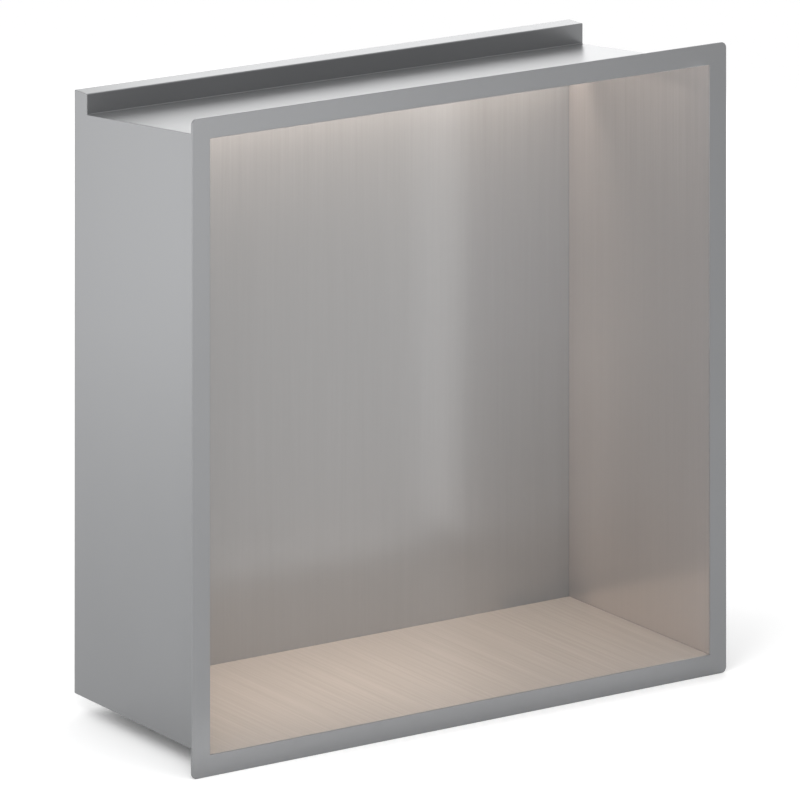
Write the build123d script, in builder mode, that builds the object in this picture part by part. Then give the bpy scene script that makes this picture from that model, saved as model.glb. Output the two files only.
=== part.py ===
from build123d import *
import os

# Shower niche insert: a square box of folded and welded stainless sheet, let into a wall.
# The origin is the centre of the back panel's outer face. +Y points into the wall, +Z is up,
# and the open mouth with its flange faces -Y.

# Driving dimensions, in millimetres
mouth_width = 300.0  # clear width between the side panels
mouth_height = 300.0  # clear height at the mouth, from the floor to the ceiling's front edge
clear_depth = 125.0  # from the flange's front face to the back panel's inner face
sheet = 1.0  # thickness of the sheet
flange_width = 10.5  # from the mouth's edge to the flange's outer edge
flange_corner = 3.0  # rounding of the flange's outer corners
channel_width = 10.0  # clear width of the light channel, front to back
channel_rise = 10.5  # height of the riser, which is also the ceiling's fall to the back
fold_round = 0.5  # outside radius of the folds, crisp because the sheet is grooved along them first
nook_round = 0.3  # radius where two outside faces meet in a hollow
seam_round = 0.3  # rounding of the ground weld seams
rim_round = 0.3  # deburred front edges of the flange

# Outside of the box
box_width = mouth_width + 2 * sheet
box_depth = clear_depth + sheet
box_top = mouth_height / 2 + sheet
box_bottom = -box_top

# Outside of the light channel, a rail along the box's top rear edge
rail_depth = channel_width + 2 * sheet
rail_foot = box_top - channel_rise

with BuildPart() as niche_body:
    # The box's outside: floor, back panel, roof, riser and ceiling as one folded outline
    with BuildSketch(Plane.YZ) as outline:
        with BuildLine():
            Polyline(
                (-box_depth, box_bottom),
                (0, box_bottom),
                (0, box_top),
                (-rail_depth, box_top),
                (-rail_depth, rail_foot),
                (-box_depth, box_top),
                close=True,
            )
        make_face()
        fillet(outline.vertices().sort_by_distance((-rail_depth, rail_foot))[0], nook_round)
    extrude(amount=box_width / 2, both=True)

    # Hollowed to the sheet's thickness, open at the mouth
    mouth = niche_body.faces().sort_by(Axis.Y)[0]
    offset(amount=-sheet, openings=mouth)

    # Outside of the folds along the roof's two edges and the back panel's lower edge
    roof = niche_body.faces().sort_by(Axis.Z)[-1]
    back_panel = niche_body.faces().sort_by(Axis.Y)[-1]
    lower_fold = back_panel.edges().sort_by(Axis.Z)[0]
    fillet(roof.edges().filter_by(Axis.X) + [lower_fold], fold_round)

    # Weld seams along the two side panels, ground to a small round.
    # Each panel's foremost edge, at the mouth, meets the flange and is no seam
    panels = niche_body.faces().sort_by(Axis.X)
    seams = panels[0].edges().sort_by(Axis.Y)[1:] + panels[-1].edges().sort_by(Axis.Y)[1:]
    fillet(seams, seam_round)

    # Flange, turned outwards all round the mouth
    with BuildSketch(Plane.XZ.offset(box_depth)):
        RectangleRounded(mouth_width + 2 * flange_width, mouth_height + 2 * flange_width, flange_corner)
        Rectangle(mouth_width, mouth_height, mode=Mode.SUBTRACT)
    extrude(amount=-sheet)

    # The hollow between the flange and the box
    flange_back = niche_body.faces().filter_by(Plane.XZ).sort_by(Axis.Y)[1]
    fillet(flange_back.inner_wires().edges(), nook_round)

    # The flange's front edges, deburred at the mouth and along the rim
    flange_front = niche_body.faces().sort_by(Axis.Y)[0]
    fillet(flange_front.edges(), rim_round)

niche_body.part.label = "niche_body"
os.makedirs("parts", exist_ok=True)
export_step(niche_body.part, "parts/niche_body.step")
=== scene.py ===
import math

import bpy
from mathutils import Matrix, Vector


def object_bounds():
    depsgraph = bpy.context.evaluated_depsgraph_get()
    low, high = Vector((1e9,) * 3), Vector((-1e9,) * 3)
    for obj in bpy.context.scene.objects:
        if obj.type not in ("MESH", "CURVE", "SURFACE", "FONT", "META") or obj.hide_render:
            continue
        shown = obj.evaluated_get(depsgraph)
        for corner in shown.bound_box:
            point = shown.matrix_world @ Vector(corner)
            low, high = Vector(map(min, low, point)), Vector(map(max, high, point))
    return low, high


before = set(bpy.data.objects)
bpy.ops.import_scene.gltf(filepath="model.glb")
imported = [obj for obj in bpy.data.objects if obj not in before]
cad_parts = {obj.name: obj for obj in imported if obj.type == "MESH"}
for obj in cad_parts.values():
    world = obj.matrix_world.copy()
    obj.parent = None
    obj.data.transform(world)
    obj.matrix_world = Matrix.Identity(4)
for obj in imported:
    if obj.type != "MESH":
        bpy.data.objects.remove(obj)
cad_low, cad_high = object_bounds()

# Sizes of the folded box in metres. The frame's own box gives the flange's outer edge and the depth.
sheet = 0.001
half_sheet = sheet / 2
flange_width = 0.0105
channel_depth = 0.012
channel_rise = 0.0105
# The width of the painted shade along the back panel's inner corners
corner_shade_width = 0.0008
flange_front = cad_low.y
mouth_half = cad_high.x - flange_width
box_half = mouth_half + sheet

# The view: the line of sight's turn from +Y towards +X, its fall for each metre of level distance,
# the level distance from the aim point on the flange's front plane, and the lens and its sensor in
# millimetres
view_turn = math.radians(33.622)
view_fall = 0.26007
view_distance = 3.8026
view_aim = Vector((-0.0391, flange_front, 0.0068))
view_lens = 357.35
view_sensor = 36

# Brush marks: how wide they are across the grain and how long along it, in metres.
# Drift is the slow change of tone over the satin.
hairline_width = 0.0011
hairline_length = 0.07
stroke_width = 0.0045
stroke_length = 0.16
floor_line_width = 0.0018
floor_line_length = 0.13
drift_size = 0.06
mark_detail = 3.0

# The middle of the marks' range, their height in metres, and the share of that height on the satin
mark_middle = 0.5
mark_height = 0.000002
satin_mark_share = 0.3

# How far the marks lighten and darken the walls low down and high up, and the floor. The stronger
# contrast high up is painted light, standing for the light that grazes the walls there.
low_contrast = 0.13
high_contrast = 0.34
floor_contrast = 0.25

# The height above which the marks on the walls begin to stand out, where their contrast is painted
# stronger as grazing light
upper_start = 0.05

# The tone of the painted shade in the back panel's inner corners, beside that of the rest of the back
# panel
corner_shade_tone = 0.92

# A face counts as facing along an axis where its normal leans to it by more than this
face_limit = 0.7

# Colours of the sheet. The ceiling and the channel have the back panel's. The side walls' lighter tone
# and the floor's lighter, warmer tone are painted light on the one stainless sheet, the floor's warmth
# standing for the warm light from the channel.
back_colour = (0.238, 0.240, 0.242, 1)
side_colour_with_painted_light = (0.444, 0.427, 0.424, 1)
floor_colour_with_painted_warm_light = (0.355, 0.327, 0.303, 1)
satin_dark = (0.197, 0.200, 0.205, 1)
satin_light = (0.213, 0.216, 0.221, 1)

# How far each face mirrors as bare metal does
back_metallic = 0.24
side_metallic = 0.7
floor_metallic = 0.1
satin_metallic = 0.85

# Roughness from the smoothest marks to the roughest
brushed_smooth = 0.14
back_rough = 0.24
side_rough = 0.2
satin_smooth = 0.32
satin_rough = 0.38

# The pale floor's width in metres, and its roughness
stage_width = 60
stage_roughness = 0.9

# Colours of the lamps: plain, the warm light from the channel, and what the floor throws back of it
white = (1, 1, 1)
warm_white = (1, 0.85, 0.73)
floor_warm = (1, 0.72, 0.52)

# Long lamps inside the box stop this far from its side walls, and those on its floor lie this far
# above it
lamp_gap = 2 * sheet
floor_gap = sheet / 4
lamp_length = 2 * (mouth_half - lamp_gap)

# How far towards the mouth the middle of the channel's light has moved when it reaches the floor,
# and how deep the front part of that light is
channel_lean = 0.068
channel_edge_depth = 0.005

# The height of the glow under the ceiling
under_ceiling = 0.136

# The glow from the floor stops this much farther from the right wall
floor_glow_short = 0.04

# The glow at the right wall's foot: how wide it is, and how deep it reaches from the mouth
foot_glow_width = 0.03
foot_glow_depth = 0.105

# The shine along the right wall's front edge: where it starts, how deep it reaches from there,
# and how high above the floor it ends
shine_start = flange_front - 0.01
shine_depth = 0.038
shine_lift = 0.009

up = Vector((0, 0, 1))
across_mouth = Vector((mouth_half, 0, 0))


def add_node(tree, kind, **settings):
    """A new node with its settings."""
    node = tree.nodes.new(kind)
    for name, value in settings.items():
        setattr(node, name, value)
    return node


def feed(tree, socket, value):
    """Links an output to a socket, or sets the socket to a constant."""
    if isinstance(value, bpy.types.NodeSocket):
        tree.links.new(value, socket)
    else:
        socket.default_value = value


def calc(tree, operation, *values):
    """The output of a Math node on these values."""
    node = add_node(tree, "ShaderNodeMath", operation=operation)
    for socket, value in zip(node.inputs, values):
        feed(tree, socket, value)
    return node.outputs[0]


def average(tree, first, second):
    """The mean of two values."""
    return calc(tree, "DIVIDE", calc(tree, "ADD", first, second), 2)


def beyond(tree, value, limit):
    """A mask of where a value is farther from zero than the limit."""
    return calc(tree, "GREATER_THAN", calc(tree, "ABSOLUTE", value), limit)


def all_of(tree, mask, *others):
    """A mask of where all these masks are 1."""
    for other in others:
        mask = calc(tree, "MULTIPLY", mask, other)
    return mask


def blend(tree, mask, low, high):
    """A value that goes from low where the mask is 0 to high where it is 1."""
    node = add_node(tree, "ShaderNodeMapRange")
    for name, value in (("Value", mask), ("To Min", low), ("To Max", high)):
        feed(tree, node.inputs[name], value)
    return node.outputs["Result"]


def blend_colours(tree, mask, low, high):
    """A colour that goes from low where the mask is 0 to high where it is 1."""
    # The node's sockets for colours have the same names as those for values and vectors before them
    node = add_node(tree, "ShaderNodeMix", data_type="RGBA")
    for socket, value in ((node.inputs[0], mask), (node.inputs[6], low), (node.inputs[7], high)):
        feed(tree, socket, value)
    return node.outputs[2]


def new_group(name, outputs):
    """An empty node group with these value outputs, and the node that collects them."""
    group = bpy.data.node_groups.new(name, "ShaderNodeTree")
    for output in outputs:
        group.interface.new_socket(output, in_out="OUTPUT", socket_type="NodeSocketFloat")
    return group, group.nodes.new("NodeGroupOutput")


def surface(group):
    """A point's place on the sheet, and the way that its face looks, both along X, Y and Z."""
    spot = add_node(group, "ShaderNodeTexCoord")
    place = add_node(group, "ShaderNodeSeparateXYZ")
    facing = add_node(group, "ShaderNodeSeparateXYZ")
    feed(group, place.inputs[0], spot.outputs["Object"])
    feed(group, facing.inputs[0], spot.outputs["Normal"])
    return place.outputs, facing.outputs


def sheet_grain():
    """Brush marks: along the folded strip of floor, back panel and ceiling, and upright on the sides."""
    group, result = new_group("sheet_grain", ("Hairlines", "Strokes", "Floor lines", "Drift"))
    (x, y, z), facing = surface(group)
    on_side = beyond(group, facing["X"], face_limit)
    lies_flat = beyond(group, facing["Z"], face_limit)
    across = blend(group, on_side, x, y)
    along = blend(group, lies_flat, z, y)

    for output, width, length in (
        ("Hairlines", hairline_width, hairline_length),
        ("Strokes", stroke_width, stroke_length),
        ("Floor lines", floor_line_width, floor_line_length),
        ("Drift", drift_size, drift_size),
    ):
        marks = add_node(group, "ShaderNodeCombineXYZ")
        feed(group, marks.inputs["X"], calc(group, "DIVIDE", across, width))
        feed(group, marks.inputs["Y"], calc(group, "DIVIDE", along, length))
        feed(group, marks.inputs["Z"], on_side)
        noise = add_node(group, "ShaderNodeTexNoise")
        feed(group, noise.inputs["Vector"], marks.outputs[0])
        feed(group, noise.inputs["Scale"], 1.0)
        feed(group, noise.inputs["Detail"], mark_detail)
        feed(group, result.inputs[output], noise.outputs["Fac"])
    return group


def sheet_faces():
    """Masks of the sheet's faces: Inner is the inside of the box, behind the flange's fold and within
    the middle of the sheet. Sides and Floor are its side walls and the face that things stand on.
    Upper grows with the height, from above the box's middle to the ceiling's lowest edge, and Corner
    shade marks fine lines of painted shade on the back panel, along the side walls."""
    group, result = new_group("sheet_faces", ("Inner", "Sides", "Floor", "Upper", "Corner shade"))
    (x, y, z), facing = surface(group)

    # The middle of the sheet overhead: the sloping ceiling, and the roof over the channel
    slope = channel_rise / (channel_depth + flange_front)
    ceiling = calc(group, "MULTIPLY_ADD", y, slope, box_half - half_sheet - slope * flange_front)
    in_channel = calc(group, "GREATER_THAN", y, half_sheet - channel_depth)
    overhead = blend(group, in_channel, ceiling, box_half - half_sheet)

    between_sides = calc(group, "LESS_THAN", calc(group, "ABSOLUTE", x), box_half - half_sheet)
    above_floor = calc(group, "GREATER_THAN", z, half_sheet - box_half)
    below_ceiling = calc(group, "LESS_THAN", z, overhead)
    behind_flange = calc(group, "GREATER_THAN", y, flange_front + half_sheet)
    before_back = calc(group, "LESS_THAN", y, -half_sheet)
    inner = all_of(group, between_sides, above_floor, below_ceiling, behind_flange, before_back)

    faces_aside = beyond(group, facing["X"], face_limit)
    faces_up = calc(group, "GREATER_THAN", facing["Z"], face_limit)
    faces_mouth = calc(group, "LESS_THAN", facing["Y"], -face_limit)
    along_sides = beyond(group, x, mouth_half - corner_shade_width)

    upper = add_node(group, "ShaderNodeMapRange", interpolation_type="SMOOTHSTEP")
    feed(group, upper.inputs["Value"], z)
    feed(group, upper.inputs["From Min"], upper_start)
    feed(group, upper.inputs["From Max"], mouth_half - channel_rise)

    feed(group, result.inputs["Inner"], inner)
    feed(group, result.inputs["Sides"], all_of(group, inner, faces_aside))
    feed(group, result.inputs["Floor"], all_of(group, inner, faces_up))
    feed(group, result.inputs["Upper"], upper.outputs["Result"])
    feed(group, result.inputs["Corner shade"], all_of(group, inner, faces_mouth, along_sides))
    return group


def stainless_sheet():
    """Stainless sheet: brushed on the inner faces, a fine satin on the outside and the flange."""
    material = bpy.data.materials.new("stainless_sheet")
    material.use_nodes = True
    tree = material.node_tree
    steel = tree.nodes["Principled BSDF"]

    grain = add_node(tree, "ShaderNodeGroup", node_tree=sheet_grain()).outputs
    faces = add_node(tree, "ShaderNodeGroup", node_tree=sheet_faces()).outputs
    inner = faces["Inner"]
    sides = faces["Sides"]
    floor = faces["Floor"]

    # The side walls mirror the rest of the niche most, and the floor scatters the light that falls on it
    wall_metallic = blend(tree, sides, back_metallic, side_metallic)
    brushed_metallic = blend(tree, floor, wall_metallic, floor_metallic)
    feed(tree, steel.inputs["Metallic"], blend(tree, inner, satin_metallic, brushed_metallic))

    # The brush marks stand out on the floor, and on the walls only high up, where their contrast is
    # painted stronger to stand for the light that grazes them
    wall_marks = average(tree, grain["Hairlines"], grain["Strokes"])
    marks = blend(tree, floor, wall_marks, grain["Floor lines"])
    wall_contrast = blend(tree, faces["Upper"], low_contrast, high_contrast)
    contrast = blend(tree, floor, wall_contrast, floor_contrast)
    # Painted shade: the back panel is darker in fine lines along its inner corners
    tone = blend(tree, faces["Corner shade"], 1.0, corner_shade_tone)
    streaks = calc(tree, "MULTIPLY_ADD", calc(tree, "SUBTRACT", marks, mark_middle), contrast, tone)

    # Painted light: the side walls and the floor get lighter tones than the back panel, the floor's warm
    wall_colour = blend_colours(tree, sides, back_colour, side_colour_with_painted_light)
    brushed = add_node(tree, "ShaderNodeVectorMath", operation="SCALE")
    feed(tree, brushed.inputs[0], blend_colours(tree, floor, wall_colour, floor_colour_with_painted_warm_light))
    feed(tree, brushed.inputs["Scale"], streaks)
    satin = blend_colours(tree, grain["Drift"], satin_dark, satin_light)
    feed(tree, steel.inputs["Base Color"], blend_colours(tree, inner, satin, brushed.outputs[0]))

    satin_roughness = blend(tree, grain["Drift"], satin_smooth, satin_rough)
    brushed_rough = blend(tree, sides, back_rough, side_rough)
    brushed_roughness = blend(tree, grain["Hairlines"], brushed_smooth, brushed_rough)
    feed(tree, steel.inputs["Roughness"], blend(tree, inner, satin_roughness, brushed_roughness))

    bump = add_node(tree, "ShaderNodeBump")
    mark_share = blend(tree, inner, satin_mark_share, 1.0)
    feed(tree, bump.inputs["Strength"], 1.0)
    feed(tree, bump.inputs["Distance"], mark_height)
    feed(tree, bump.inputs["Height"], calc(tree, "MULTIPLY", marks, mark_share))
    feed(tree, steel.inputs["Normal"], bump.outputs["Normal"])
    return material


def studio_floor():
    """A plain pale floor under the flange's lower edge."""
    bpy.ops.object.select_all(action="DESELECT")
    bpy.ops.mesh.primitive_plane_add(size=stage_width, location=(0, 0, cad_low.z))
    floor = bpy.context.object
    floor.name = "studio_floor"
    pale = bpy.data.materials.new("pale_floor")
    pale.use_nodes = True
    paint = pale.node_tree.nodes["Principled BSDF"]
    paint.inputs["Base Color"].default_value = (*white, 1)
    paint.inputs["Roughness"].default_value = stage_roughness
    paint.inputs["Specular IOR Level"].default_value = 0.0
    floor.data.materials.append(pale)


def white_surroundings():
    """An even white all round."""
    world = bpy.data.worlds.new("white_surroundings")
    world.use_nodes = True
    background = world.node_tree.nodes["Background"]
    background.inputs["Color"].default_value = (*white, 1)
    background.inputs["Strength"].default_value = 1.0
    bpy.context.scene.world = world


def lamp(name, place, aim, width, height, radiance, spread=180, colour=white):
    """A soft lamp: a rectangle of even brightness, which the camera doesn't see."""
    data = bpy.data.lights.new(name, "AREA")
    data.shape = "RECTANGLE"
    data.size = width
    data.size_y = height
    data.energy = radiance * math.pi * width * height
    data.spread = math.radians(spread)
    data.color = colour
    holder = bpy.data.objects.new(name, data)
    bpy.context.scene.collection.objects.link(holder)
    holder.location = place
    holder.rotation_euler = (Vector(aim) - Vector(place)).to_track_quat("-Z", "Y").to_euler()
    holder.visible_camera = False
    return holder


def studio_lamps():
    """Soft lamps round the niche. The floor's lamp lights the floor just in front of the flange, and the
    corner's shines through the mouth into the right-hand rear corner."""
    lamp("key_lamp", place=(-0.42, -0.45, 0.12), aim=(-mouth_half, flange_front, 0),
         width=0.3, height=0.4, radiance=4.0)
    lamp("front_lamp", place=(0.15, -0.8, 0.1), aim=(0.1, 0, 0.04),
         width=0.5, height=0.5, radiance=1.0)
    lamp("side_lamp", place=(-0.5, 0.36, 0.1), aim=(-box_half, 0, 0),
         width=0.28, height=0.5, radiance=1.5)
    lamp("top_lamp", place=(0.95, 0.8, 0.4), aim=(0, 0, 0.12),
         width=1.1, height=0.8, radiance=1.6)
    lamp("floor_lamp", place=(0, -0.165, 0.1), aim=(0, -0.165, cad_low.z),
         width=0.3, height=0.03, radiance=1.1, spread=16)
    lamp("corner_lamp", place=(-0.3, -0.5, 0.1), aim=(mouth_half, 0, 0.06),
         width=0.1, height=0.15, radiance=0.42, spread=20)


def channel_light():
    """Warm light from under the roof of the channel: most of it leans towards the mouth, and its front
    part shines straight down."""
    strip_place = Vector((0, -channel_depth / 2, mouth_half - half_sheet))
    strip_aim = strip_place + Vector((0, -channel_lean, -2 * mouth_half))
    strip = lamp("channel_strip", strip_place, strip_aim, lamp_length, channel_depth - 2 * lamp_gap,
                 radiance=32, spread=90, colour=warm_white)

    edge_place = strip_place - Vector((0, channel_edge_depth / 2, 0))
    edge = lamp("channel_edge", edge_place, edge_place - up, lamp_length, channel_edge_depth,
                radiance=34, spread=120, colour=warm_white)
    return [strip, edge]


def inner_glow():
    """Warm light that the faces of the box throw on one another: down from the ceiling, with a beam on
    the left of the floor, up from the floor and the right wall's foot, and across from the left wall."""
    ceiling_place = Vector((0, -0.058, under_ceiling))
    ceiling = lamp("ceiling_glow", ceiling_place, ceiling_place - up, lamp_length, height=0.1,
                   radiance=1.0, colour=warm_white)

    # A little above the ceiling's glow, because two lamps in one plane would hide each other
    beam_place = Vector((-0.065, -0.073, under_ceiling + sheet))
    beam = lamp("floor_beam", beam_place, beam_place - up, width=0.17, height=0.1,
                radiance=0.4, spread=28, colour=warm_white)

    floor_place = Vector((-floor_glow_short / 2, flange_front / 2, floor_gap - mouth_half))
    floor = lamp("floor_glow", floor_place, floor_place + up, lamp_length - floor_glow_short,
                 -flange_front - 2 * sheet, radiance=0.6, colour=floor_warm)

    foot_place = Vector((
        mouth_half - half_sheet - foot_glow_width / 2,
        flange_front + half_sheet + foot_glow_depth / 2,
        floor_gap - mouth_half,
    ))
    foot = lamp("wall_foot_glow", foot_place, foot_place + up, foot_glow_width, foot_glow_depth,
                radiance=1.1, colour=floor_warm)

    left_place = Vector((sheet - mouth_half, -0.02, -0.07))
    left = lamp("left_wall_glow", left_place, left_place + across_mouth, width=0.03, height=0.15,
                radiance=0.45, spread=14, colour=warm_white)
    return [ceiling, beam, floor, foot, left]


def niche_lights(niche):
    """Light that falls on the niche alone: the warm light inside it, a lamp overhead, and the shine along
    the right wall's front edge.
    The warm light isn't mirrored, so it makes no sparkle in the folds, and the shine is only mirrored."""
    warm_lights = channel_light() + inner_glow()
    for source in warm_lights:
        source.visible_glossy = False

    overhead = lamp("overhead_lamp", place=(0, 0.1, 1), aim=(0, 0, mouth_half),
                    width=0.5, height=0.5, radiance=6.5)

    shine_place = Vector((mouth_half - sheet, shine_start + shine_depth / 2, shine_lift / 2))
    shine_height = lamp_length - shine_lift
    shine = lamp("edge_shine", shine_place, shine_place - across_mouth, shine_depth, shine_height,
                 radiance=1.05)
    shine.visible_diffuse = False

    niche_only = bpy.data.collections.new("niche_only")
    niche_only.objects.link(niche)
    for source in (*warm_lights, overhead, shine):
        source.light_linking.receiver_collection = niche_only


def camera():
    """A camera that looks down on the niche and keeps its upright edges upright.
    Its picture plane stays upright while its line of sight falls, which a turned camera can't do,
    so the slant is in the matrix of its stand."""
    sight = Vector((math.sin(view_turn), math.cos(view_turn), -view_fall))
    right = Vector((math.cos(view_turn), -math.sin(view_turn), 0))
    slant = Matrix((right, up, -sight.normalized())).transposed().to_4x4()
    slant.translation = view_aim - view_distance * sight

    data = bpy.data.cameras.new("camera")
    data.lens = view_lens
    data.sensor_width = view_sensor
    viewer = bpy.data.objects.new("camera", data)
    stand = bpy.data.objects.new("camera_stand", None)
    for part in (viewer, stand):
        bpy.context.scene.collection.objects.link(part)
    viewer.parent = stand
    viewer.matrix_parent_inverse = slant
    bpy.context.scene.camera = viewer


bpy.context.scene.view_settings.view_transform = "Standard"
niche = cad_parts["niche_body"]
niche.material_slots[0].material = stainless_sheet()
studio_floor()
white_surroundings()
studio_lamps()
niche_lights(niche)
camera()
